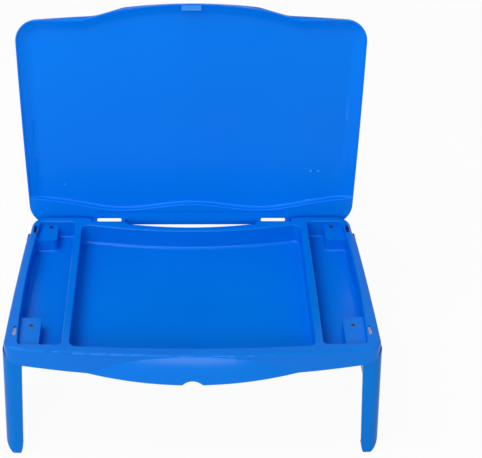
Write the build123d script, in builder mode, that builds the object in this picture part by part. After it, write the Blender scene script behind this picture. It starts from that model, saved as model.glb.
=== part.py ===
from build123d import *
import os
from math import atan2, cos, degrees, radians, sin

# Lap desk with its lid open and its legs unfolded.
# +Z is up, the user sits at -Y and looks along +Y, and X runs to the user's right.
# The origin is at floor level, in the middle of the object's box.
# Depths run forward from the line of the tray's back edge, heights up from the floor.

os.makedirs("parts", exist_ok=True)

# Outline of the tray
rim_height = 174.5
front_depth = 284.5
front_bow = 13.0
front_bow_half = 200.0
side_front_half = 223.6
side_taper = 9.2
side_bow = 1.0
inset_step = 3.8
back_corner_step = 2.2
inset_front_depth = 56.0
inset_back_depth = 36.0
inset_radius = 60.0
front_corner_radius = 15.0
back_corner_radius = 20.0
scoop_depth = 22.8
scoop_half = 140.0
scoop_end_radius = 30.0
skirt_height = 33.4
skirt_rise = 6.8
skirt_rise_half = 195.0
side_skirt_height = 30.0
side_skirt_front = 250.0
wall = 2.5
deck = 3.0
rim_round = 3.5
pocket_round = 1.5

# Grip lip at the middle of the front
lip_reach = 14.0
lip_half = 127.5
lip_top = 2.5
lip_fullness = 1.7
lip_wall_growth = 1.4
lip_root = 22.0
notch_half = 12.0
notch_height = 5.0

# Trays; side distances are measured in from the tray's side, at its front or its back
main_back_from_side = 70.9
main_front_from_side = 78.3
main_front_depth = 270.0
main_front_corner_depth = 264.8
main_back_depth = 33.6
main_back_corner_depth = 17.0
main_tray_depth = 28.0
main_corner_radius = 9.0
main_floor_round = 4.0
divider_width = 9.6
pen_back_depth = 11.0
pen_front_margin = 6.25
pen_tray_depth = 25.0
pen_corner_radius = 5.0
pen_floor_round = 2.5
pen_back_from_side = 15.9
pen_mid_from_side = 16.0
pen_outer_mid_depth = 160.0
pen_front_from_side = 17.3
platform_drop = 8.0
rear_platform_from_side = 38.9
rear_platform_margin = 3.5
front_platform_from_side = 41.1
front_platform_depth = 203.0
platform_reach = 120.0
tray_floor = 2.5

# Slots through the side rim, beside the platforms
slot_width = 4.0
slot_length = 18.0
rear_slot_from_side = 10.2
rear_slot_depth = 28.0
front_slot_from_side = 11.8
front_slot_depth = 237.0

# Legs, in the plane square to their hinge lines; "out" is away from the middle
leg_axis_from_side = 27.6
leg_axis_drop = 26.0
leg_front_inset = 0.45
leg_rear_depth = 11.0431
leg_wall = 3.0
leg_seam_gap = 0.4
seam_inner = (6.5, -1.2)
seam_middle = (18.2, 2.2)
seam_outer = (30.0, 13.0)
seam_clear_out = 22.0
leg_outer_splay = 5.2
leg_inner_splay = 6.3
leg_round_start = 22.0
sole_width = 3.0
sole_out = 19.8
leg_curl = 5.0
leg_corner_radius = 4.0
leg_plan_radius = 14.0
leg_plan_skin = 0.1
foot_length = 18.0
foot_slope = 6.0
arch_height = 26.0
arch_radius = 14.0
lug_radius = 5.5
running_gap = 0.06

# Leg hinge blocks, pins and screws
block_half_width = 5.2
block_base = 5.0
block_length = 33.0
block_cheek = 4.0
rear_block_from_end = 28.4837
front_block_inset = 23.8
lug_side_gap = 0.3
leg_pin_radius = 2.0
screw_shank_radius = 1.5
screw_head_radius = 2.6
screw_head_height = 1.6
screw_head_sink = 1.1
screw_socket_radius = 1.2
screw_socket_depth = 1.0
screw_inset = 25.5
screw_tip_cover = 0.8

# Lid, in its closed position
lid_open_angle = 101.7
lid_gap = 0.3
lid_height = 10.0
lid_wall = 3.0
lid_lip = 2.0
lid_back_depth = -2.9
lid_side_overhang = 0.6
lid_side_taper = 10.6
lid_side_bow = 1.0
lid_back_corner_radius = 29.0
lid_front_corner_radius = 28.0
panel_bulge_depth = 297.4
panel_bulge_end = (76.0, 295.2)
panel_bulge_radius = 40.0
panel_shoulder = (113.0, 284.3)
panel_shoulder_radius = 40.0
panel_corner_depth = 274.8
lip_bulge_depth = 299.0
lip_bulge_end = (103.0, 288.5)
lip_bulge_radius = 60.0
lip_shoulder = (139.0, 278.0)
lip_shoulder_radius = 5.0
lip_corner_depth = 278.3
lid_edge_round = 3.0
lid_slope_width = 14.0
lid_slope_height = 5.2
lid_slope_blend = 25.0
land_cove = 2.5
land_edge_round = 1.2
land_wave = [(0.0, 26.5), (98.0, 18.6), (150.0, 26.5)]
land_overrun = 10.0
land_end_depth = 36.0
groove_half = 125.0
groove_depth = 15.2
groove_width = 2.4
groove_sink = 0.8
window_half_near = 93.3
window_half_far = 125.6
window_front_depth = 6.2
window_back_depth = 0.5
window_corner = 1.5

# Lid hinges
hinge_depth = 2.0
hinge_drop = 12.0
knuckle_radius = 4.5
hinge_arm = 4.4
hinge_side_gap = 0.7
hinge_pin_radius = 2.0
hinge_pocket_depth = 11.5
pocket_margin = 1.2
pocket_below = 6.5
bracket_front_depth = 17.0
stop_reach = 6.0
stop_thickness = 3.0
stop_gap = 0.15

# Lid catch
catch_half_width = 12.5
catch_plate = 2.0
catch_reach = 6.5
catch_nose = 2.0
catch_height = 4.0
catch_fit = 0.3

# Derived places
side_back_half = side_front_half - side_taper
inset_half = side_back_half - inset_step
back_corner_half = inset_half - back_corner_step
front_corner_depth = front_depth - front_bow * (side_front_half / front_bow_half) ** 2
main_half_back = side_back_half - main_back_from_side
main_half_front = side_front_half - main_front_from_side
pen_front_depth = front_corner_depth - pen_front_margin
pen_outer_back = side_back_half - pen_back_from_side
pen_outer_mid = side_front_half - pen_mid_from_side
pen_outer_front = side_front_half - pen_front_from_side
rear_platform_inner = side_back_half - rear_platform_from_side
front_platform_inner = side_front_half - front_platform_from_side
rear_slot_half = side_back_half - rear_slot_from_side
front_slot_half = side_front_half - front_slot_from_side
leg_axis_half = side_front_half - leg_axis_from_side
leg_front_depth = front_corner_depth - leg_front_inset
leg_flare = atan2(side_taper, leg_front_depth - inset_front_depth)
leg_length = (leg_front_depth - leg_rear_depth) / cos(leg_flare)
block_starts = (front_block_inset / cos(leg_flare), leg_length - rear_block_from_end)
rear_block_depth = leg_front_depth - block_starts[1] * cos(leg_flare)
rear_platform_depth = rear_block_depth + rear_platform_margin
lid_side_front = side_front_half + lid_side_overhang
lid_side_back = lid_side_front - lid_side_taper
land_end_half = lid_side_front + land_overrun
skirt_low = rim_height - skirt_height
axis_z = rim_height - leg_axis_drop
seam_outer_out, seam_outer_up = seam_outer
sole_up = -axis_z
hinge_z = rim_height - hinge_drop
open_cos = cos(radians(lid_open_angle))
open_sin = sin(radians(lid_open_angle))
lid_under = hinge_drop + lid_gap
lid_top = hinge_drop + lid_height
lid_edge_v = hinge_depth - panel_bulge_depth + lid_edge_round
lid_edge_w = lid_top - lid_edge_round
lid_reach_back = -hinge_depth + lid_edge_v * open_cos + lid_edge_w * open_sin + lid_edge_round
grip_front_depth = front_depth + lip_reach
back_y = (grip_front_depth - lid_reach_back) / 2
hinge_y = back_y - hinge_depth
arm_far = window_half_far + hinge_side_gap + hinge_arm
arm_near = window_half_near - hinge_side_gap - hinge_arm
big = 600.0


def at(depth):
    """Y of a depth in front of the tray's back line."""
    return back_y - depth


def front_edge(x):
    """Depth of the tray's bowed front edge at x."""
    return front_depth - front_bow * (x / front_bow_half) ** 2


def midway(start, end, bulge):
    """The point half way from start to end, moved out in X by bulge."""
    return ((start[0] + end[0]) / 2 + bulge, (start[1] + end[1]) / 2)


def tray_outline(inset):
    """Tray seen from above: bowed front, flared sides and scooped back, moved in by inset."""
    front_corner = (side_front_half, at(front_corner_depth))
    side_top = (side_back_half, at(inset_front_depth))
    inset_low = (inset_half, at(inset_back_depth))
    half_way = front_bow_half / 2
    with BuildSketch(Plane.XY) as outline:
        with BuildLine():
            ThreePointArc((0, at(front_depth)), (half_way, at(front_edge(half_way))), front_corner)
            ThreePointArc(front_corner, midway(front_corner, side_top, side_bow), side_top)
            Polyline(side_top, inset_low, (back_corner_half, at(0)), (scoop_half, at(0)))
            ThreePointArc((scoop_half, at(0)), (scoop_half / 2, at(scoop_depth * 0.75)), (0, at(scoop_depth)))
            mirror(about=Plane.YZ)
        make_face()
        fillet(outline.vertices().filter_by(lambda v: abs(v.X) > side_front_half - 1), front_corner_radius)
        steps = outline.vertices().filter_by(lambda v: at(inset_front_depth + 1) < v.Y < at(inset_back_depth - 1))
        fillet(steps, inset_radius)
        back_ends = outline.vertices().filter_by(lambda v: abs(v.X) > scoop_half + 1 and v.Y > at(1))
        fillet(back_ends, back_corner_radius)
        humps = outline.vertices().filter_by(lambda v: abs(abs(v.X) - scoop_half) < 1)
        fillet(humps, scoop_end_radius)
        if inset > 0:
            offset(amount=-inset, mode=Mode.REPLACE)
    return outline.sketch


def main_tray_outline(grow):
    """The main tray's pocket, grown by a wall."""
    front_corner = (main_half_front, at(main_front_corner_depth))
    back_corner = (main_half_back, at(main_back_corner_depth))
    front_mid = main_front_depth - (main_front_depth - main_front_corner_depth) / 4
    back_mid = main_back_depth - (main_back_depth - main_back_corner_depth) / 4
    with BuildSketch(Plane.XY) as outline:
        with BuildLine():
            ThreePointArc((0, at(main_front_depth)), (main_half_front / 2, at(front_mid)), front_corner)
            Line(front_corner, back_corner)
            ThreePointArc(back_corner, (main_half_back / 2, at(back_mid)), (0, at(main_back_depth)))
            mirror(about=Plane.YZ)
        make_face()
        fillet(outline.vertices().filter_by(lambda v: abs(v.X) > main_half_back - 1), main_corner_radius)
        if grow > 0:
            offset(amount=grow, mode=Mode.REPLACE)
    return outline.sketch


def divider_outer(depth):
    """X of a divider's outer side at a depth."""
    share = (depth - main_back_corner_depth) / (main_front_corner_depth - main_back_corner_depth)
    return main_half_back + (main_half_front - main_half_back) * share + divider_width


def pen_outer(depth):
    """X of the pen compartment's outer edge: a parabola through three places."""
    d0, d1, d2 = pen_back_depth, pen_outer_mid_depth, pen_front_depth
    back_share = pen_outer_back * (depth - d1) * (depth - d2) / ((d0 - d1) * (d0 - d2))
    mid_share = pen_outer_mid * (depth - d0) * (depth - d2) / ((d1 - d0) * (d1 - d2))
    front_share = pen_outer_front * (depth - d0) * (depth - d1) / ((d2 - d0) * (d2 - d1))
    return back_share + mid_share + front_share


def pen_edge(depth):
    """Point on the pen compartment's outer edge."""
    return (pen_outer(depth), at(depth))


def pen_side_outline(grow):
    """Both side compartments with their platforms, grown by a wall."""
    middle = (pen_back_depth + pen_front_depth) / 2
    with BuildSketch(Plane.XY) as outline:
        with BuildLine():
            ThreePointArc(pen_edge(pen_back_depth), pen_edge(middle), pen_edge(pen_front_depth))
            Polyline(
                pen_edge(pen_front_depth),
                (divider_outer(pen_front_depth), at(pen_front_depth)),
                (divider_outer(pen_back_depth), at(pen_back_depth)),
                pen_edge(pen_back_depth),
            )
        make_face()
        fillet(outline.vertices(), pen_corner_radius)
        if grow > 0:
            offset(amount=grow, mode=Mode.REPLACE)
        mirror(about=Plane.YZ)
    return outline.sketch


def platform_corner(out, depth, back):
    """A rectangle from an inner platform corner outwards and to the back or the front."""
    aligned = (Align.MIN, Align.MIN if back else Align.MAX)
    with BuildSketch(Plane.XY) as corner:
        with Locations((out, at(depth))):
            Rectangle(platform_reach, platform_reach, align=aligned)
    return corner.sketch


def pen_floor_outline(grow):
    """Both deep pen trays, which wrap round the platforms, grown by a wall."""
    inner_x = (rear_platform_inner + grow, front_platform_inner + grow)
    with BuildSketch(Plane.XY) as outline:
        add(pen_side_outline(grow))
        add(platform_corner(inner_x[0], rear_platform_depth - grow, True), mode=Mode.SUBTRACT)
        add(platform_corner(inner_x[1], front_platform_depth + grow, False), mode=Mode.SUBTRACT)
        split(bisect_by=Plane.YZ.offset(divider_width))
        corners = outline.vertices().filter_by(
            lambda v: (abs(v.X - inner_x[0]) < 0.1 and abs(v.Y - at(rear_platform_depth - grow)) < 0.1)
            or (abs(v.X - inner_x[1]) < 0.1 and abs(v.Y - at(front_platform_depth + grow)) < 0.1)
        )
        fillet(corners, pen_corner_radius - grow)
        mirror(about=Plane.YZ)
    return outline.sketch


def grip_section(inset, low):
    """The grip lip's section in the YZ plane, its outside moved in by inset."""
    high = rim_height - lip_top - inset
    lip_y = at(grip_front_depth - inset)
    top_y = at(front_depth - lip_wall_growth * inset)
    root_y = at(front_depth - lip_root)
    middle = ((lip_y + top_y) / 2 - lip_fullness, (skirt_low + high) / 2)
    with BuildSketch(Plane.YZ) as section:
        with BuildLine():
            Polyline((root_y, low), (lip_y, low), (lip_y, skirt_low))
            ThreePointArc((lip_y, skirt_low), middle, (top_y, high))
            Polyline((top_y, high), (root_y, high), (root_y, low))
        make_face()
    return section.sketch


def seam_cut(plane, near):
    """Everything below the seam and outside near, in the leg's plane."""
    far = 2 * seam_outer_out
    low = -3 * leg_axis_drop
    with BuildSketch(plane) as region:
        with BuildLine():
            ThreePointArc(seam_inner, seam_middle, seam_outer)
            Polyline(seam_outer, (far, seam_outer_up), (far, low), (seam_inner[0], low), seam_inner)
        make_face()
        with Locations((near, low)):
            Rectangle(far, 6 * leg_axis_drop, align=(Align.MIN, Align.MIN), mode=Mode.INTERSECT)
    return region.sketch


def leg_outline():
    """Silhouette of the right leg in the leg's plane."""
    top_inner, top_middle, top_outer = ((out, up - leg_seam_gap) for out, up in (seam_inner, seam_middle, seam_outer))
    round_up = sole_up + leg_round_start
    outer_low = (seam_outer_out + leg_outer_splay, round_up)
    inner_low = (seam_inner[0] + leg_inner_splay, round_up)
    sole_far = (sole_out + sole_width / 2, sole_up)
    sole_near = (sole_out - sole_width / 2, sole_up)
    with BuildSketch(leg_plane) as outline:
        with BuildLine():
            Line(top_outer, outer_low)
            Spline([outer_low, sole_far], tangents=[(0.03, -1), (-1, -0.15)], tangent_scalars=[1.0, 1.0])
            Line(sole_far, sole_near)
            Spline([sole_near, inner_low], tangents=[(-0.7, 1), (-0.08, 1)], tangent_scalars=[1.0, 1.0])
            Line(inner_low, top_inner)
            ThreePointArc(top_inner, top_middle, top_outer)
        make_face()
    return outline.sketch


def leg_side_outline(inset):
    """Side view of a leg with rounded lower corners, moved in by inset."""
    tall = axis_z + 2 * seam_outer_up
    long = leg_length - 2 * inset
    with BuildSketch(leg_side_plane) as outline:
        with Locations((leg_length / 2, sole_up + inset + tall / 2)):
            Rectangle(long, tall)
        low_corners = outline.vertices().group_by(Axis.Z)[0]
        fillet(low_corners, leg_corner_radius - inset)
    return outline.sketch


def leg_plan_outline(inset):
    """The right leg seen from above, with rounded outer corners, moved in by inset."""
    outer = seam_outer_out + leg_plan_skin - inset
    with BuildSketch(leg_top_plane) as outline:
        with Locations((outer, leg_length / 2)):
            Rectangle(big, leg_length + 2 * leg_plan_skin - 2 * inset, align=(Align.MAX, Align.CENTER))
        fillet(outline.vertices().filter_by(lambda v: v.X > 0), leg_plan_radius - inset)
    return outline.sketch


def land_line(shift):
    """Points of the wavy step between the lid's dish and its hinge strip, left to right."""
    right = [(x, hinge_depth - depth + shift) for x, depth in land_wave]
    right.append((land_end_half, hinge_depth - land_end_depth + shift))
    left = [(-x, v) for x, v in right[:0:-1]]
    return left + right


def lid_outline(bulge_depth, bulge_end, shoulder, corner_depth, radii, inset):
    """Lid seen from above in its own plane, moved in by inset."""
    front_corner = (lid_side_front, hinge_depth - corner_depth)
    back_v = hinge_depth - lid_back_depth
    side_back = (lid_side_back, back_v)
    bulge_front = (0, hinge_depth - bulge_depth)
    bulge_side = (bulge_end[0], hinge_depth - bulge_end[1])
    bulge_mid = (bulge_end[0] / 2, bulge_front[1] + (bulge_side[1] - bulge_front[1]) / 4)
    with BuildSketch(Plane.XY) as outline:
        with BuildLine():
            Line((0, back_v), side_back)
            ThreePointArc(side_back, midway(side_back, front_corner, lid_side_bow), front_corner)
            Polyline(front_corner, (shoulder[0], hinge_depth - shoulder[1]), bulge_side)
            ThreePointArc(bulge_side, bulge_mid, bulge_front)
            mirror(about=Plane.YZ)
        make_face()
        for half, radius in zip((bulge_end[0], shoulder[0], lid_side_front, lid_side_back), radii):
            fillet(outline.vertices().filter_by(lambda v: abs(abs(v.X) - half) < 0.1), radius)
        if inset > 0:
            offset(amount=-inset, mode=Mode.REPLACE)
    return outline.sketch


def behind_land(shift):
    """Everything behind the wavy step, in the lid's plane."""
    wave = land_line(shift)
    with BuildSketch(Plane.XY) as region:
        with BuildLine():
            Spline(wave)
            Polyline(wave[-1], (land_end_half, big), (-land_end_half, big), wave[0])
        make_face()
    return region.sketch


leg_plane = Plane(
    origin=(leg_axis_half, at(leg_front_depth), axis_z),
    x_dir=(cos(leg_flare), sin(leg_flare), 0),
    z_dir=(sin(leg_flare), -cos(leg_flare), 0),
)
leg_side_plane = Plane(
    origin=(leg_axis_half, at(leg_front_depth), axis_z),
    x_dir=(-sin(leg_flare), cos(leg_flare), 0),
    z_dir=(cos(leg_flare), sin(leg_flare), 0),
)
leg_top_plane = Plane(
    origin=(leg_axis_half, at(leg_front_depth), axis_z + seam_outer_up),
    x_dir=(cos(leg_flare), sin(leg_flare), 0),
    z_dir=(0, 0, 1),
)
lid_plane = Plane(origin=(0, hinge_y, hinge_z), x_dir=(1, 0, 0), z_dir=(0, open_sin, open_cos))
lug_reach = seam_outer_out - leg_wall / 2


# Hollow of a leg, and the leg itself
splay_drop = seam_outer_up - sole_up - leg_round_start
splay_run = leg_plane.x_dir * leg_outer_splay - Vector(0, 0, splay_drop)
splay_long = 1.5 * (seam_outer_up - sole_up)

with BuildPart() as leg_hollow:
    curl_up = sole_up + leg_curl
    with BuildSketch(leg_plane.offset(-leg_wall)) as hollow_section:
        with BuildLine():
            top_out = seam_outer_out - leg_wall
            round_out = top_out + leg_outer_splay
            floor_out = (sole_out + sole_width / 4, sole_up + leg_wall)
            Polyline((-leg_length, curl_up), (-leg_length, leg_length), (top_out, leg_length), (top_out, seam_outer_up))
            Line((top_out, seam_outer_up), (round_out, sole_up + leg_round_start))
            Spline([(round_out, sole_up + leg_round_start), floor_out], tangents=[(0.03, -1), (-1, -0.15)])
            Polyline(floor_out, (sole_out, sole_up + leg_wall), (sole_out - leg_wall, curl_up), (-leg_length, curl_up))
        make_face()
    extrude(amount=-(leg_length - 2 * leg_wall))
    leg_inside = leg_side_outline(leg_wall)
    extrude(leg_inside, amount=leg_length, both=True, mode=Mode.INTERSECT)
    extrude(leg_plan_outline(leg_wall), amount=splay_long, dir=splay_run, mode=Mode.INTERSECT)

with BuildPart() as right_leg:
    extrude(leg_outline(), amount=leg_length * 2, both=True)
    extrude(leg_side_outline(0), amount=leg_length, both=True, mode=Mode.INTERSECT)
    extrude(leg_plan_outline(0), amount=splay_long, dir=splay_run, mode=Mode.INTERSECT)
    add(leg_hollow.part, mode=Mode.SUBTRACT)

    # Shallow arch that leaves a foot at each end
    arch_half = leg_length / 2 - foot_length
    with BuildSketch(leg_side_plane) as arch:
        with BuildLine():
            Polyline(
                (leg_length / 2 - arch_half, sole_up - arch_height),
                (leg_length / 2 - arch_half, sole_up),
                (leg_length / 2 - arch_half + foot_slope, sole_up + arch_height),
                (leg_length / 2 + arch_half - foot_slope, sole_up + arch_height),
                (leg_length / 2 + arch_half, sole_up),
                (leg_length / 2 + arch_half, sole_up - arch_height),
                close=True,
            )
        make_face()
        fillet(arch.vertices().group_by(Axis.Z)[-1], arch_radius)
    extrude(amount=leg_length, both=True, mode=Mode.SUBTRACT)
    for start in block_starts:
        lug_start = start + block_cheek + lug_side_gap
        lug_length = block_length - 2 * (block_cheek + lug_side_gap)
        with BuildSketch(leg_plane.offset(-lug_start)):
            Circle(lug_radius)
            with Locations((lug_reach / 2, -lug_radius / 2)):
                Rectangle(lug_reach, lug_radius)
            Circle(leg_pin_radius + running_gap, mode=Mode.SUBTRACT)
        extrude(amount=-lug_length)

right_leg.part.label = "right_leg"
export_step(right_leg.part, "parts/right_leg.step")

with BuildPart() as left_leg:
    mirror(right_leg.part, about=Plane.YZ)

left_leg.part.label = "left_leg"
export_step(left_leg.part, "parts/left_leg.step")


# Leg hinge blocks, pins and screws: front one first, then the rear one
blocks = []
pins = []
screws = []
for start in block_starts:
    base_up = leg_axis_drop - platform_drop - tray_floor
    head_plane = Plane(
        origin=leg_plane.offset(-(start + screw_inset)).from_local_coords((0, base_up, 0)),
        x_dir=(1, 0, 0),
        z_dir=(0, 0, 1),
    )
    with BuildPart() as screw:
        with BuildSketch(head_plane):
            Circle(screw_shank_radius)
        extrude(amount=tray_floor - screw_head_sink)
        extrude(screw.faces().sort_by(Axis.Z)[0], amount=block_base - screw_tip_cover)
        with BuildSketch(head_plane.offset(tray_floor - screw_head_sink)):
            Circle(screw_head_radius)
        extrude(amount=screw_head_height)
        chamfer(screw.faces().sort_by(Axis.Z)[-1].edges(), screw_head_sink / 4)
        with BuildSketch(head_plane.offset(tray_floor - screw_head_sink + screw_head_height)):
            RegularPolygon(screw_socket_radius, 6)
        extrude(amount=-screw_socket_depth, mode=Mode.SUBTRACT)
    screws.append(screw)

    with BuildPart() as block:
        with BuildSketch(leg_plane.offset(-start)):
            Circle(block_half_width)
            with Locations((0, base_up / 2)):
                Rectangle(2 * block_half_width, base_up)
        extrude(amount=-block_length)
        with BuildSketch(leg_plane.offset(-(start + block_cheek))):
            with Locations((0, (base_up - block_base) / 2 - block_half_width)):
                Rectangle(4 * block_half_width, base_up - block_base + 2 * block_half_width)
        extrude(amount=-(block_length - 2 * block_cheek), mode=Mode.SUBTRACT)
        with BuildSketch(leg_plane.offset(-start)):
            Circle(leg_pin_radius)
        extrude(amount=-block_length, mode=Mode.SUBTRACT)
        with BuildSketch(head_plane):
            Circle(screw_shank_radius)
        extrude(amount=-(block_base - screw_tip_cover), mode=Mode.SUBTRACT)
    blocks.append(block)

    with BuildPart() as pin:
        with BuildSketch(leg_plane.offset(-start)):
            Circle(leg_pin_radius)
        extrude(amount=-block_length)
        chamfer(pin.edges().filter_by(GeomType.CIRCLE), leg_pin_radius / 8)
    pins.append(pin)

right_front_block, right_rear_block = blocks
right_front_pin, right_rear_pin = pins
right_front_screw, right_rear_screw = screws

with BuildPart() as left_front_block:
    mirror(right_front_block.part, about=Plane.YZ)
with BuildPart() as left_rear_block:
    mirror(right_rear_block.part, about=Plane.YZ)
with BuildPart() as left_front_pin:
    mirror(right_front_pin.part, about=Plane.YZ)
with BuildPart() as left_rear_pin:
    mirror(right_rear_pin.part, about=Plane.YZ)
with BuildPart() as left_front_screw:
    mirror(right_front_screw.part, about=Plane.YZ)
with BuildPart() as left_rear_screw:
    mirror(right_rear_screw.part, about=Plane.YZ)

right_front_block.part.label = "right_front_block"
export_step(right_front_block.part, "parts/right_front_block.step")
right_rear_block.part.label = "right_rear_block"
export_step(right_rear_block.part, "parts/right_rear_block.step")
left_front_block.part.label = "left_front_block"
export_step(left_front_block.part, "parts/left_front_block.step")
left_rear_block.part.label = "left_rear_block"
export_step(left_rear_block.part, "parts/left_rear_block.step")
right_front_pin.part.label = "right_front_leg_pin"
export_step(right_front_pin.part, "parts/right_front_leg_pin.step")
right_rear_pin.part.label = "right_rear_leg_pin"
export_step(right_rear_pin.part, "parts/right_rear_leg_pin.step")
left_front_pin.part.label = "left_front_leg_pin"
export_step(left_front_pin.part, "parts/left_front_leg_pin.step")
left_rear_pin.part.label = "left_rear_leg_pin"
export_step(left_rear_pin.part, "parts/left_rear_leg_pin.step")
right_front_screw.part.label = "right_front_screw"
export_step(right_front_screw.part, "parts/right_front_screw.step")
right_rear_screw.part.label = "right_rear_screw"
export_step(right_rear_screw.part, "parts/right_rear_screw.step")
left_front_screw.part.label = "left_front_screw"
export_step(left_front_screw.part, "parts/left_front_screw.step")
left_rear_screw.part.label = "left_rear_screw"
export_step(left_rear_screw.part, "parts/left_rear_screw.step")


# Tray body
rim_plane = Plane.XY.offset(rim_height)
tray_face = tray_outline(0)
tray_inside = tray_outline(wall)
grip_sagitta = grip_front_depth - front_edge(lip_half)
grip_radius = (lip_half**2 + grip_sagitta**2) / (2 * grip_sagitta)
turn_axis = Axis((0, at(grip_front_depth - grip_radius), 0), (0, 0, 1))
half_turn = degrees(atan2(lip_half + lip_reach, grip_radius))
grip_face = grip_section(0, skirt_low - 2).rotate(turn_axis, -half_turn)
grip_inside = grip_section(wall, skirt_low - 2 * wall).rotate(turn_axis, -half_turn)

with BuildPart() as tray_body:
    with BuildSketch(rim_plane):
        add(tray_face)
    extrude(amount=-skirt_height)
    fillet(tray_body.faces().sort_by(Axis.Z)[-1].edges(), rim_round)
    revolve(grip_face, axis=turn_axis, revolution_arc=2 * half_turn)

    # Hollow below the deck, and inside the grip lip
    with BuildSketch(rim_plane.offset(-deck)):
        add(tray_inside)
    extrude(amount=-2 * skirt_height, mode=Mode.SUBTRACT)
    revolve(grip_inside, axis=turn_axis, revolution_arc=2 * half_turn, mode=Mode.SUBTRACT)

    # The front skirt's lower edge rises towards the corners, the other skirts are shorter
    rise_half = side_front_half + lip_root
    rise_end = skirt_low + skirt_rise * (rise_half / skirt_rise_half) ** 2
    with BuildSketch(Plane.XZ.offset(-back_y)):
        with BuildLine():
            ThreePointArc((-rise_half, rise_end), (0, skirt_low), (rise_half, rise_end))
            Polyline((rise_half, rise_end), (rise_half, 0), (-rise_half, 0), (-rise_half, rise_end))
        make_face()
    extrude(amount=big, mode=Mode.SUBTRACT)
    with BuildSketch(rim_plane.offset(-side_skirt_height)):
        with Locations((0, at(side_skirt_front))):
            Rectangle(big, big, align=(Align.CENTER, Align.MIN))
    extrude(amount=-skirt_height, mode=Mode.SUBTRACT)

    # Thumb notch in the lip's lower edge
    with BuildSketch(Plane.XZ.offset(-at(front_depth - lip_root))):
        with BuildLine():
            ThreePointArc((-notch_half, skirt_low), (0, skirt_low + notch_height), (notch_half, skirt_low))
            Polyline((notch_half, skirt_low), (notch_half, 0), (-notch_half, 0), (-notch_half, skirt_low))
        make_face()
    extrude(amount=4 * lip_root, mode=Mode.SUBTRACT)

    # Solid blanks of the trays, hanging from the deck
    with BuildSketch(rim_plane.offset(-deck / 2)):
        add(main_tray_outline(wall))
    extrude(amount=-(main_tray_depth + tray_floor - deck / 2))
    with BuildSketch(rim_plane.offset(-deck / 2)):
        add(pen_side_outline(wall))
    extrude(amount=-(platform_drop + tray_floor - deck / 2))
    with BuildSketch(rim_plane.offset(-deck / 2)):
        add(pen_floor_outline(wall))
    extrude(amount=-(pen_tray_depth + tray_floor - deck / 2))

    # Pockets of the trays
    with BuildSketch(rim_plane):
        add(main_tray_outline(0))
    extrude(amount=-main_tray_depth, mode=Mode.SUBTRACT)
    with BuildSketch(rim_plane):
        add(pen_side_outline(0))
    extrude(amount=-platform_drop, mode=Mode.SUBTRACT)
    with BuildSketch(rim_plane):
        add(pen_floor_outline(0))
    extrude(amount=-pen_tray_depth, mode=Mode.SUBTRACT)

    # Room for the legs below the seam: full depth at both ends, the skirt only between them
    front_room = lip_root + block_starts[0] + block_length
    front_section = seam_cut(leg_plane.offset(lip_root), seam_inner[0])
    rear_section = seam_cut(leg_plane.offset(-block_starts[1]), seam_inner[0])
    front_cut = extrude(front_section, amount=-front_room, mode=Mode.PRIVATE)
    rear_cut = extrude(rear_section, amount=-front_room, mode=Mode.PRIVATE)
    side_cut = extrude(seam_cut(leg_plane, seam_clear_out), amount=-leg_length, mode=Mode.PRIVATE)
    for cut in (front_cut, rear_cut, side_cut):
        add(cut, mode=Mode.SUBTRACT)
        mirror(cut, about=Plane.YZ, mode=Mode.SUBTRACT)

    # Rounded rims and floors of the pockets
    deck_face = tray_body.faces().filter_by(lambda f: abs(f.center().Z - rim_height) < 0.01).sort_by(SortBy.AREA)[-1]
    fillet([edge for wire in deck_face.inner_wires() for edge in wire.edges()], pocket_round)
    level = Plane.XY.offset(rim_height - main_tray_depth)
    floors = tray_body.faces().filter_by(lambda f: f.geom_type == GeomType.PLANE and abs(f.center().Z - level.origin.Z) < 0.01)
    fillet(floors.sort_by(SortBy.AREA)[-1].outer_wire().edges(), main_floor_round)
    level = Plane.XY.offset(rim_height - pen_tray_depth)
    floors = tray_body.faces().filter_by(lambda f: f.geom_type == GeomType.PLANE and abs(f.center().Z - level.origin.Z) < 0.01)
    fillet([edge for face in floors.sort_by(SortBy.AREA)[-2:] for edge in face.outer_wire().edges()], pen_floor_round)

    # Slots through the rim, and screw holes through the platforms
    with BuildSketch(rim_plane):
        with Locations(
            (rear_slot_half, at(rear_slot_depth)),
            (-rear_slot_half, at(rear_slot_depth)),
            (front_slot_half, at(front_slot_depth)),
            (-front_slot_half, at(front_slot_depth)),
        ):
            SlotOverall(slot_length, slot_width, rotation=90)
    extrude(amount=-2 * deck, mode=Mode.SUBTRACT)
    for screw in (right_front_screw, right_rear_screw, left_front_screw, left_rear_screw):
        centre = screw.part.center(CenterOf.BOUNDING_BOX)
        with BuildSketch(rim_plane.offset(-platform_drop)):
            with Locations((centre.X, centre.Y)):
                Circle(screw_head_radius)
        extrude(amount=-screw_head_sink, mode=Mode.SUBTRACT)
        with BuildSketch(rim_plane.offset(-platform_drop)):
            with Locations((centre.X, centre.Y)):
                Circle(screw_shank_radius)
        extrude(amount=-2 * tray_floor, mode=Mode.SUBTRACT)

    # Hinge pockets in the back, their inner walls, lugs and stop ledges
    pocket_wide = arm_far - arm_near + 2 * pocket_margin
    pocket_mid = (arm_far + arm_near) / 2
    pocket_tall = hinge_drop + pocket_below
    with BuildSketch(rim_plane.offset(-deck / 2)):
        with Locations((pocket_mid, at(hinge_pocket_depth + wall / 2)), (-pocket_mid, at(hinge_pocket_depth + wall / 2))):
            Rectangle(pocket_wide + 2 * wall, wall)
    extrude(amount=-(side_skirt_height - deck / 2))
    with BuildSketch(rim_plane):
        with Locations((pocket_mid, at(0)), (-pocket_mid, at(0))):
            Rectangle(pocket_wide, 2 * hinge_pocket_depth)
    extrude(amount=-pocket_tall, mode=Mode.SUBTRACT)

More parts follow.
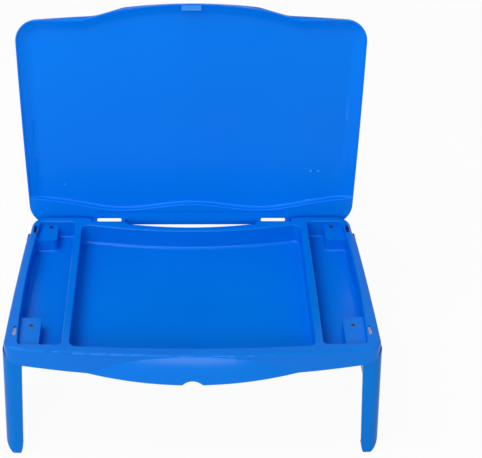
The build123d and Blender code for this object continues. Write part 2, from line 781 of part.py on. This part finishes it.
    with BuildSketch(Plane.YZ.offset(window_half_near)):
        with Locations((hinge_y, hinge_z)):
            Circle(knuckle_radius)
        with Locations(((hinge_y + at(bracket_front_depth)) / 2, hinge_z)):
            Rectangle(bracket_front_depth - hinge_depth, 2 * knuckle_radius)
    hinge_lug = extrude(amount=window_half_far - window_half_near, mode=Mode.PRIVATE)
    ledge_low = hinge_z - (knuckle_radius + stop_gap) / open_sin
    ledge_back = ledge_low + stop_reach * open_cos / open_sin
    with BuildSketch(Plane.YZ.offset(arm_near - pocket_margin)):
        with BuildLine():
            Polyline(
                (at(bracket_front_depth), ledge_low),
                (hinge_y, ledge_low),
                (hinge_y + stop_reach, ledge_back),
                (hinge_y + stop_reach, ledge_back - stop_thickness),
                (at(bracket_front_depth), ledge_back - stop_thickness),
                close=True,
            )
        make_face()
    stop_ledge = extrude(amount=pocket_wide, mode=Mode.PRIVATE)
    for piece in (hinge_lug, stop_ledge):
        add(piece)
        mirror(piece, about=Plane.YZ)
    with BuildSketch(Plane.YZ.offset(-arm_far)):
        with Locations((hinge_y, hinge_z)):
            Circle(hinge_pin_radius)
    extrude(amount=2 * arm_far, mode=Mode.SUBTRACT)

tray_body.part.label = "tray_body"
export_step(tray_body.part, "parts/tray_body.step")


# Lid hinge pins
with BuildPart() as right_lid_pin:
    with BuildSketch(Plane.YZ.offset(arm_near)):
        with Locations((hinge_y, hinge_z)):
            Circle(hinge_pin_radius)
    extrude(amount=arm_far - arm_near)
    chamfer(right_lid_pin.edges().filter_by(GeomType.CIRCLE), hinge_pin_radius / 8)

right_lid_pin.part.label = "right_lid_pin"
export_step(right_lid_pin.part, "parts/right_lid_pin.step")

with BuildPart() as left_lid_pin:
    mirror(right_lid_pin.part, about=Plane.YZ)

left_lid_pin.part.label = "left_lid_pin"
export_step(left_lid_pin.part, "parts/left_lid_pin.step")


# Lid, drawn closed in its own plane: x across, y back, z up
corner_radii = (lid_front_corner_radius, lid_back_corner_radius)
lip_radii = (lip_bulge_radius, lip_shoulder_radius) + corner_radii
panel_radii = (panel_bulge_radius, panel_shoulder_radius) + corner_radii
lip_face = lid_outline(lip_bulge_depth, lip_bulge_end, lip_shoulder, lip_corner_depth, lip_radii, 0)
lip_inside = lid_outline(lip_bulge_depth, lip_bulge_end, lip_shoulder, lip_corner_depth, lip_radii, lid_lip)
panel_face = lid_outline(panel_bulge_depth, panel_bulge_end, panel_shoulder, panel_corner_depth, panel_radii, 0)
hinge_strip = behind_land(0)
plateau_back = behind_land(lid_wall)

with BuildPart() as dish:
    with BuildSketch(Plane.XY):
        add(lip_inside)
        add(hinge_strip, mode=Mode.SUBTRACT)
    extrude(amount=lid_top - lid_wall)
    dish_floor = dish.faces().sort_by(Axis.Z)[-1]
    sloped = dish_floor.edges().filter_by(GeomType.BSPLINE, reverse=True)
    chamfer(sloped, lid_slope_width, lid_slope_height, reference=dish_floor)
    dish_floor = dish.faces().sort_by(Axis.Z)[-1]
    fillet(dish_floor.edges().filter_by(GeomType.BSPLINE, reverse=True), lid_slope_blend)
    dish_floor = dish.faces().sort_by(Axis.Z)[-1]
    fillet(dish_floor.edges().filter_by(GeomType.BSPLINE), land_cove)

with BuildPart() as closed_lid:
    with BuildSketch(Plane.XY.offset(lid_under)):
        add(lip_face)
    with BuildSketch(Plane.XY.offset(lid_top)):
        add(panel_face)
    loft(ruled=True)
    with BuildSketch(Plane.XY.offset(lid_under + lid_wall)):
        add(plateau_back)
    extrude(amount=lid_height, mode=Mode.SUBTRACT)
    fillet(closed_lid.faces().sort_by(Axis.Z)[-1].edges(), lid_edge_round)
    add(dish.part, mode=Mode.SUBTRACT)
    land_edges = closed_lid.edges().filter_by(GeomType.BSPLINE).filter_by(lambda e: abs(e.center().Z - lid_under) < 0.1)
    fillet(land_edges, land_edge_round)

    # Shallow groove along the hinge strip
    with BuildSketch(Plane.XY.offset(lid_under)):
        with Locations((0, hinge_depth - groove_depth)):
            Rectangle(2 * groove_half, groove_width)
    extrude(amount=groove_sink, mode=Mode.SUBTRACT)

    # Windows over the hinges
    window_mid = (window_half_near + window_half_far) / 2
    window_v = hinge_depth - (window_front_depth + window_back_depth) / 2
    with BuildSketch(Plane.XY.offset(hinge_drop)):
        with Locations((window_mid, window_v), (-window_mid, window_v)):
            RectangleRounded(window_half_far - window_half_near, window_front_depth - window_back_depth, window_corner)
    extrude(amount=lid_height, mode=Mode.SUBTRACT)

    # Hinge arms down to the pins
    for near in (arm_near, window_half_far + hinge_side_gap):
        with BuildSketch(Plane.YZ.offset(near)):
            Circle(knuckle_radius)
            with Locations((0, (lid_under + 1) / 2)):
                Rectangle(2 * knuckle_radius, lid_under + 1)
            Circle(hinge_pin_radius + running_gap, mode=Mode.SUBTRACT)
        arm = extrude(amount=hinge_arm, mode=Mode.PRIVATE)
        add(arm)
        mirror(arm, about=Plane.YZ)

with BuildPart() as lid:
    add(closed_lid.part.moved(lid_plane.location))

lid.part.label = "lid"
export_step(lid.part, "parts/lid.step")


# Lid catch: a light tab inside the middle of the lid's front edge
with BuildPart() as closed_catch:
    with BuildSketch(Plane.YZ.offset(-catch_half_width)):
        wall_v = hinge_depth - lip_bulge_depth + lid_lip - catch_fit
        low_w = lid_under - catch_nose
        with BuildLine():
            Polyline(
                (wall_v, lid_under + catch_height),
                (wall_v, low_w),
                (wall_v + catch_reach, low_w),
                (wall_v + catch_reach, low_w + catch_plate / 2),
                (wall_v + catch_plate, low_w + catch_plate),
                (wall_v + catch_plate, lid_under + catch_height),
                close=True,
            )
        make_face()
    extrude(amount=2 * catch_half_width)
    add(closed_lid.part, mode=Mode.SUBTRACT)

with BuildPart() as lid_catch:
    add(closed_catch.part.moved(lid_plane.location))

lid_catch.part.label = "lid_catch"
export_step(lid_catch.part, "parts/lid_catch.step")
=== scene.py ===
import math

import bpy
from mathutils import Matrix, Vector


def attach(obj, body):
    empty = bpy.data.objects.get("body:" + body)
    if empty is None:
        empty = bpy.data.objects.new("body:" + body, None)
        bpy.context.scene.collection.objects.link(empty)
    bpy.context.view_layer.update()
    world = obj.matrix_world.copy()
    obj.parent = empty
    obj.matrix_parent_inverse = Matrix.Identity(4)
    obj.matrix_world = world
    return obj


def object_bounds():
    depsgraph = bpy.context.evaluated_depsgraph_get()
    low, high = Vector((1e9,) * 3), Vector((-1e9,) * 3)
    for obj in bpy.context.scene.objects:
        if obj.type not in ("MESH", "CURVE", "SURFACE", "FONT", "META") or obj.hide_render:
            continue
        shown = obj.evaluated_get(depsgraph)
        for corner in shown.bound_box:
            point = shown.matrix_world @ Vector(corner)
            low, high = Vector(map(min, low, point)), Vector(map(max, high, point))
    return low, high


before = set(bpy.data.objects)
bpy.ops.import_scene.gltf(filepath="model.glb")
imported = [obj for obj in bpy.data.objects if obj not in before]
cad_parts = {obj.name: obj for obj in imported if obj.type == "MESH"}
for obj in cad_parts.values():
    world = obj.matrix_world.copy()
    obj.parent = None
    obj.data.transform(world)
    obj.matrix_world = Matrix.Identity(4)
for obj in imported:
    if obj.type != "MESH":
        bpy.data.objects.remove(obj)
cad_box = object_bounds()

MM = 0.001

# Camera, fitted to the photograph: focal length and centre in its pixels, place in millimetres
IMAGE_W = 482
IMAGE_H = 458
FOCAL_PX = 1428.8
CENTRE_X_PX = 191.6
CENTRE_Y_PX = 229.09
CAMERA_MM = (-11.155, -1446.793, 1257.724)
PITCH_DEG = 35.34
YAW_DEG = 0.43
ROLL_DEG = 0.16
SENSOR_MM = 36.0
CLIP_END = 20.0

# Mouldings: noise scales per metre, and how far each noise changes the surface
DRIFT_SCALE = 4.0
DRIFT_LOW, DRIFT_HIGH = 0.35, 0.65
SCUFF_SCALE = 60.0
SCUFF_DETAIL = 6.0
SCUFF_LOW, SCUFF_HIGH = 0.3, 0.7
ROUGHNESS_LEAST, ROUGHNESS_MOST = 0.85, 1.2
PEEL_SCALE = 220.0
PEEL_STRENGTH = 0.06
PEEL_DEPTH = 0.0004
GRAIN_SCALE = 900.0
GRAIN_DARKEST = 0.8

# Lid marks, in millimetres on the closed lid: x, depth from the tray's back, height over the hinge
LID_OPEN = math.radians(101.7)
HINGE_Y_MM = 107.8
HINGE_Z_MM = 162.5
HINGE_DEPTH = 2.0
DISH_FLOOR_W = 19.0
MARK_SINK = 0.05
PIPS = [(-166.9, 52.4, 1.3), (158.0, 71.0, 1.7), (168.0, 71.0, 1.7)]
PIP_HEIGHT = 0.45
PIP_RINGS = 4
PIP_SIDES = 20
ARC_CENTRE = (155.5, 26.5)
ARC_RADIUS = 3.6
ARC_HALF_WIDTH = 0.5
ARC_EDGE_HEIGHT = 0.15
ARC_HEIGHT = 0.3
ARC_START_DEG = 20
ARC_SWEEP_DEG = 140
ARC_STEPS = 14

# Floor, world and lamps, in metres and watts
FLOOR_HALF = 6.0
FLOOR_GAP = 0.0002
FLOOR_GREY = 0.86
WHITE_SHARE = 0.95
WORLD_STRENGTH = 0.25
LAMP_AIM = (0, 0, 0.15)
LAMPS = {
    "front_lamp": ((2.8, 0.8), (-0.4, -3.0, 1.6), 48),
    "top_lamp": ((1.6, 1.4), (-1.0, -0.45, 2.4), 32),
}


def add_camera():
    """The photograph's camera, as Blender's, from its yaw, pitch and roll."""
    yaw, pitch, roll = (math.radians(angle) for angle in (YAW_DEG, PITCH_DEG, ROLL_DEG))
    turn = Matrix((
        (math.cos(yaw), -math.sin(yaw), 0),
        (math.sin(yaw), math.cos(yaw), 0),
        (0, 0, 1),
    ))
    tilt = Matrix((
        (1, 0, 0),
        (0, -math.sin(pitch), -math.cos(pitch)),
        (0, math.cos(pitch), -math.sin(pitch)),
    ))
    twist = Matrix((
        (math.cos(roll), -math.sin(roll), 0),
        (math.sin(roll), math.cos(roll), 0),
        (0, 0, 1),
    ))
    to_image = twist @ tilt @ turn
    right, down, forward = to_image[0], to_image[1], to_image[2]
    data = bpy.data.cameras.new("camera")
    data.sensor_fit = "HORIZONTAL"
    data.sensor_width = SENSOR_MM
    data.lens = FOCAL_PX / IMAGE_W * data.sensor_width
    data.shift_x = (IMAGE_W / 2 - CENTRE_X_PX) / IMAGE_W
    data.shift_y = (CENTRE_Y_PX - IMAGE_H / 2) / IMAGE_W
    data.clip_end = CLIP_END
    camera = bpy.data.objects.new("camera", data)
    bpy.context.scene.collection.objects.link(camera)
    axes = Matrix((right, -down, -forward)).transposed().to_4x4()
    camera.matrix_world = Matrix.Translation(Vector(CAMERA_MM) * MM) @ axes
    bpy.context.scene.camera = camera


def empty_material(name):
    """A material with nothing but an output, its nodes and its links."""
    material = bpy.data.materials.new(name)
    material.use_nodes = True
    nodes = material.node_tree.nodes
    links = material.node_tree.links
    nodes.clear()
    return material, nodes, links, nodes.new("ShaderNodeOutputMaterial")


def surface_material(name):
    """A material with a Principled shader, and the object's own coordinates to lay noise on."""
    material, nodes, links, output = empty_material(name)
    shader = nodes.new("ShaderNodeBsdfPrincipled")
    links.new(shader.outputs["BSDF"], output.inputs["Surface"])
    place = nodes.new("ShaderNodeTexCoord")
    return material, nodes, links, shader, place.outputs["Object"]


def linear(rgb):
    """sRGB 0-255 to linear values, with an alpha of 1."""
    values = []
    for part in rgb:
        part = part / 255
        values.append(part / 12.92 if part <= 0.04045 else ((part + 0.055) / 1.055) ** 2.4)
    return (*values, 1.0)


def add_noise(nodes, links, place, scale, detail=2.0):
    """A noise over the object."""
    noise = nodes.new("ShaderNodeTexNoise")
    noise.inputs["Scale"].default_value = scale
    noise.inputs["Detail"].default_value = detail
    links.new(place, noise.inputs["Vector"])
    return noise.outputs["Fac"]


def add_ramp(nodes, links, factor, dark, light, low=0.0, high=1.0):
    """A colour that goes from dark to light as the factor goes from low to high."""
    ramp = nodes.new("ShaderNodeValToRGB")
    ramp.color_ramp.elements[0].position = low
    ramp.color_ramp.elements[0].color = linear(dark)
    ramp.color_ramp.elements[1].position = high
    ramp.color_ramp.elements[1].color = linear(light)
    links.new(factor, ramp.inputs["Fac"])
    return ramp.outputs["Color"]


def moulded_plastic(name, light, dark, roughness, specular):
    """Glossy injection-moulded plastic: slow colour drift, faint orange peel and fine scuffs."""
    material, nodes, links, shader, place = surface_material(name)

    drift = add_noise(nodes, links, place, DRIFT_SCALE)
    colour = add_ramp(nodes, links, drift, dark, light, DRIFT_LOW, DRIFT_HIGH)
    links.new(colour, shader.inputs["Base Color"])

    gloss = nodes.new("ShaderNodeMapRange")
    gloss.inputs["From Min"].default_value = SCUFF_LOW
    gloss.inputs["From Max"].default_value = SCUFF_HIGH
    gloss.inputs["To Min"].default_value = roughness * ROUGHNESS_LEAST
    gloss.inputs["To Max"].default_value = roughness * ROUGHNESS_MOST
    links.new(add_noise(nodes, links, place, SCUFF_SCALE, SCUFF_DETAIL), gloss.inputs["Value"])
    links.new(gloss.outputs["Result"], shader.inputs["Roughness"])

    bump = nodes.new("ShaderNodeBump")
    bump.inputs["Strength"].default_value = PEEL_STRENGTH
    bump.inputs["Distance"].default_value = PEEL_DEPTH
    links.new(add_noise(nodes, links, place, PEEL_SCALE), bump.inputs["Height"])
    links.new(bump.outputs["Normal"], shader.inputs["Normal"])

    shader.inputs["Specular IOR Level"].default_value = specular
    return material


def steel(name, colour, roughness):
    """Steel with a fine grain of brightness."""
    material, nodes, links, shader, place = surface_material(name)
    grain = add_noise(nodes, links, place, GRAIN_SCALE)
    dark = [part * GRAIN_DARKEST for part in colour]
    links.new(add_ramp(nodes, links, grain, dark, colour), shader.inputs["Base Color"])
    shader.inputs["Metallic"].default_value = 1.0
    shader.inputs["Roughness"].default_value = roughness
    return material


def dress_nodes():
    """Gives each CAD node its material."""
    tray_blue = moulded_plastic("tray_blue", (0, 122, 230), (0, 116, 223), 0.2, 0.13)
    lid_blue = moulded_plastic("lid_blue", (0, 126, 241), (0, 121, 236), 0.2, 0.08)
    leg_blue = moulded_plastic("leg_blue", (0, 124, 222), (0, 117, 214), 0.22, 0.07)
    block_blue = moulded_plastic("block_blue", (0, 100, 200), (0, 94, 190), 0.4, 0.12)
    # The catch is the lid's blue made lighter: a painted highlight for the light its tilted face
    # catches.
    catch_painted_highlight_blue = moulded_plastic("catch_painted_highlight_blue", (60, 150, 238), (52, 142, 232), 0.3, 0.2)
    pin_steel = steel("pin_steel", (190, 192, 196), 0.3)
    screw_steel = steel("screw_steel", (90, 94, 100), 0.35)
    named = {
        "tray_body": tray_blue,
        "lid": lid_blue,
        "lid_catch": catch_painted_highlight_blue,
        "left_leg": leg_blue,
        "right_leg": leg_blue,
    }
    for node_name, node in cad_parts.items():
        if node_name in named:
            chosen = named[node_name]
        elif "block" in node_name:
            chosen = block_blue
        elif "screw" in node_name:
            chosen = screw_steel
        else:
            chosen = pin_steel
        for slot in node.material_slots:
            slot.material = chosen
        if not node.material_slots:
            node.data.materials.append(chosen)


def on_lid(x, depth, w):
    """World place, with the lid open, of a point given on the closed lid."""
    v = HINGE_DEPTH - depth
    y = HINGE_Y_MM + v * math.cos(LID_OPEN) + w * math.sin(LID_OPEN)
    z = HINGE_Z_MM - v * math.sin(LID_OPEN) + w * math.cos(LID_OPEN)
    return (x * MM, y * MM, z * MM)


def add_lid_mark(name, rings, material):
    """A low moulded mark on the lid's dish, from rings of points on the closed lid."""
    count = len(rings[0])
    verts = [on_lid(*point) for ring in rings for point in ring]
    faces = []
    for low in range(len(rings) - 1):
        for i in range(count):
            j = (i + 1) % count
            faces.append((
                low * count + i,
                low * count + j,
                (low + 1) * count + j,
                (low + 1) * count + i,
            ))
    faces.append(tuple(range((len(rings) - 1) * count, len(rings) * count)))
    mesh = bpy.data.meshes.new(name)
    mesh.from_pydata(verts, [], faces)
    for polygon in mesh.polygons:
        polygon.use_smooth = True
    mesh.materials.append(material)
    mark = bpy.data.objects.new(name, mesh)
    bpy.context.scene.collection.objects.link(mark)
    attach(mark, "lid")


def circle_points(centre, radius, angles, w):
    """Points on the closed lid, round a centre given as x and depth."""
    return [(centre[0] + radius * math.cos(t), centre[1] + radius * math.sin(t), w) for t in angles]


def add_lid_marks():
    """Three small pips and one small curved mark, in a lighter blue than the lid as a painted glint.
    """
    # The pips and the arc are the lid's plastic made lighter: painted glints on top of their low
    # raised shape.
    lid_mark_painted_glint_blue = moulded_plastic("lid_mark_painted_glint_blue", (52, 158, 250), (44, 150, 244), 0.25, 0.2)
    whole = [math.tau * k / PIP_SIDES for k in range(PIP_SIDES)]
    for index, (x, depth, radius) in enumerate(PIPS):
        rings = []
        for step in range(PIP_RINGS):
            angle = math.pi / 2 * step / PIP_RINGS
            w = DISH_FLOOR_W + MARK_SINK - PIP_HEIGHT * math.sin(angle)
            rings.append(circle_points((x, depth), radius * math.cos(angle), whole, w))
        add_lid_mark("lid_pip_%d" % (index + 1), rings, lid_mark_painted_glint_blue)

    sweep = [math.radians(ARC_START_DEG + ARC_SWEEP_DEG * k / ARC_STEPS) for k in range(ARC_STEPS + 1)]
    profile = (
        (ARC_HALF_WIDTH, DISH_FLOOR_W + MARK_SINK),
        (ARC_HALF_WIDTH, DISH_FLOOR_W - ARC_EDGE_HEIGHT),
        (ARC_HALF_WIDTH / 2, DISH_FLOOR_W - ARC_HEIGHT),
    )
    rings = []
    for half, w in profile:
        outer = circle_points(ARC_CENTRE, ARC_RADIUS + half, sweep, w)
        inner = circle_points(ARC_CENTRE, ARC_RADIUS - half, reversed(sweep), w)
        rings.append(outer + inner)
    add_lid_mark("lid_arc", rings, lid_mark_painted_glint_blue)


def add_math(nodes, links, operation, first, second=None):
    """A math node on one or two sockets."""
    node = nodes.new("ShaderNodeMath")
    node.operation = operation
    links.new(first, node.inputs[0])
    if second is not None:
        links.new(second, node.inputs[1])
    return node


def directly_seen(nodes, links):
    """1 for camera, mirror and see-through rays, 0 for the light that falls on things."""
    rays = nodes.new("ShaderNodeLightPath").outputs
    mirrored = add_math(nodes, links, "MAXIMUM", rays["Is Glossy Ray"], rays["Is Transmission Ray"])
    return add_math(nodes, links, "MAXIMUM", rays["Is Camera Ray"], mirrored.outputs[0]).outputs[0]


def add_floor():
    """A wide pale floor, white to the camera but for a faint shadow."""
    low = cad_box[0][2] - FLOOR_GAP
    corners = [(-1, -1), (1, -1), (1, 1), (-1, 1)]
    mesh = bpy.data.meshes.new("floor")
    mesh.from_pydata([(x * FLOOR_HALF, y * FLOOR_HALF, low) for x, y in corners], [], [(0, 1, 2, 3)])
    floor = bpy.data.objects.new("floor", mesh)
    bpy.context.scene.collection.objects.link(floor)

    material, nodes, links, output = empty_material("floor_white")
    matte = nodes.new("ShaderNodeBsdfDiffuse")
    matte.inputs["Color"].default_value = (FLOOR_GREY, FLOOR_GREY, FLOOR_GREY, 1)
    white = nodes.new("ShaderNodeEmission")
    white.inputs["Color"].default_value = (1, 1, 1, 1)
    white.inputs["Strength"].default_value = 1.0
    share = add_math(nodes, links, "MULTIPLY", directly_seen(nodes, links))
    share.inputs[1].default_value = WHITE_SHARE
    mix = nodes.new("ShaderNodeMixShader")
    links.new(share.outputs[0], mix.inputs["Fac"])
    links.new(matte.outputs["BSDF"], mix.inputs[1])
    links.new(white.outputs["Emission"], mix.inputs[2])
    links.new(mix.outputs["Shader"], output.inputs["Surface"])
    mesh.materials.append(material)


def add_world():
    """A dim even light all round, white where it is seen directly."""
    world = bpy.data.worlds.new("studio")
    world.use_nodes = True
    bpy.context.scene.world = world
    nodes = world.node_tree.nodes
    links = world.node_tree.links
    backdrop = nodes["Background"]
    backdrop.inputs["Color"].default_value = (1, 1, 1, 1)
    strength = add_math(nodes, links, "MULTIPLY_ADD", directly_seen(nodes, links))
    strength.inputs[1].default_value = 1.0 - WORLD_STRENGTH
    strength.inputs[2].default_value = WORLD_STRENGTH
    links.new(strength.outputs[0], backdrop.inputs["Strength"])


def add_area_lamp(name, size, place, power):
    """A soft area lamp aimed at the middle of the object."""
    data = bpy.data.lights.new(name, "AREA")
    data.shape = "RECTANGLE"
    data.size, data.size_y = size
    data.energy = power
    lamp = bpy.data.objects.new(name, data)
    bpy.context.scene.collection.objects.link(lamp)
    lamp.location = place
    aim = Vector(LAMP_AIM) - Vector(place)
    lamp.rotation_euler = aim.to_track_quat("-Z", "Y").to_euler()


add_camera()
dress_nodes()
add_lid_marks()
add_floor()
add_world()
for lamp_name, (lamp_size, lamp_place, lamp_power) in LAMPS.items():
    add_area_lamp(lamp_name, lamp_size, lamp_place, lamp_power)
bpy.context.scene.view_settings.view_transform = "Standard"
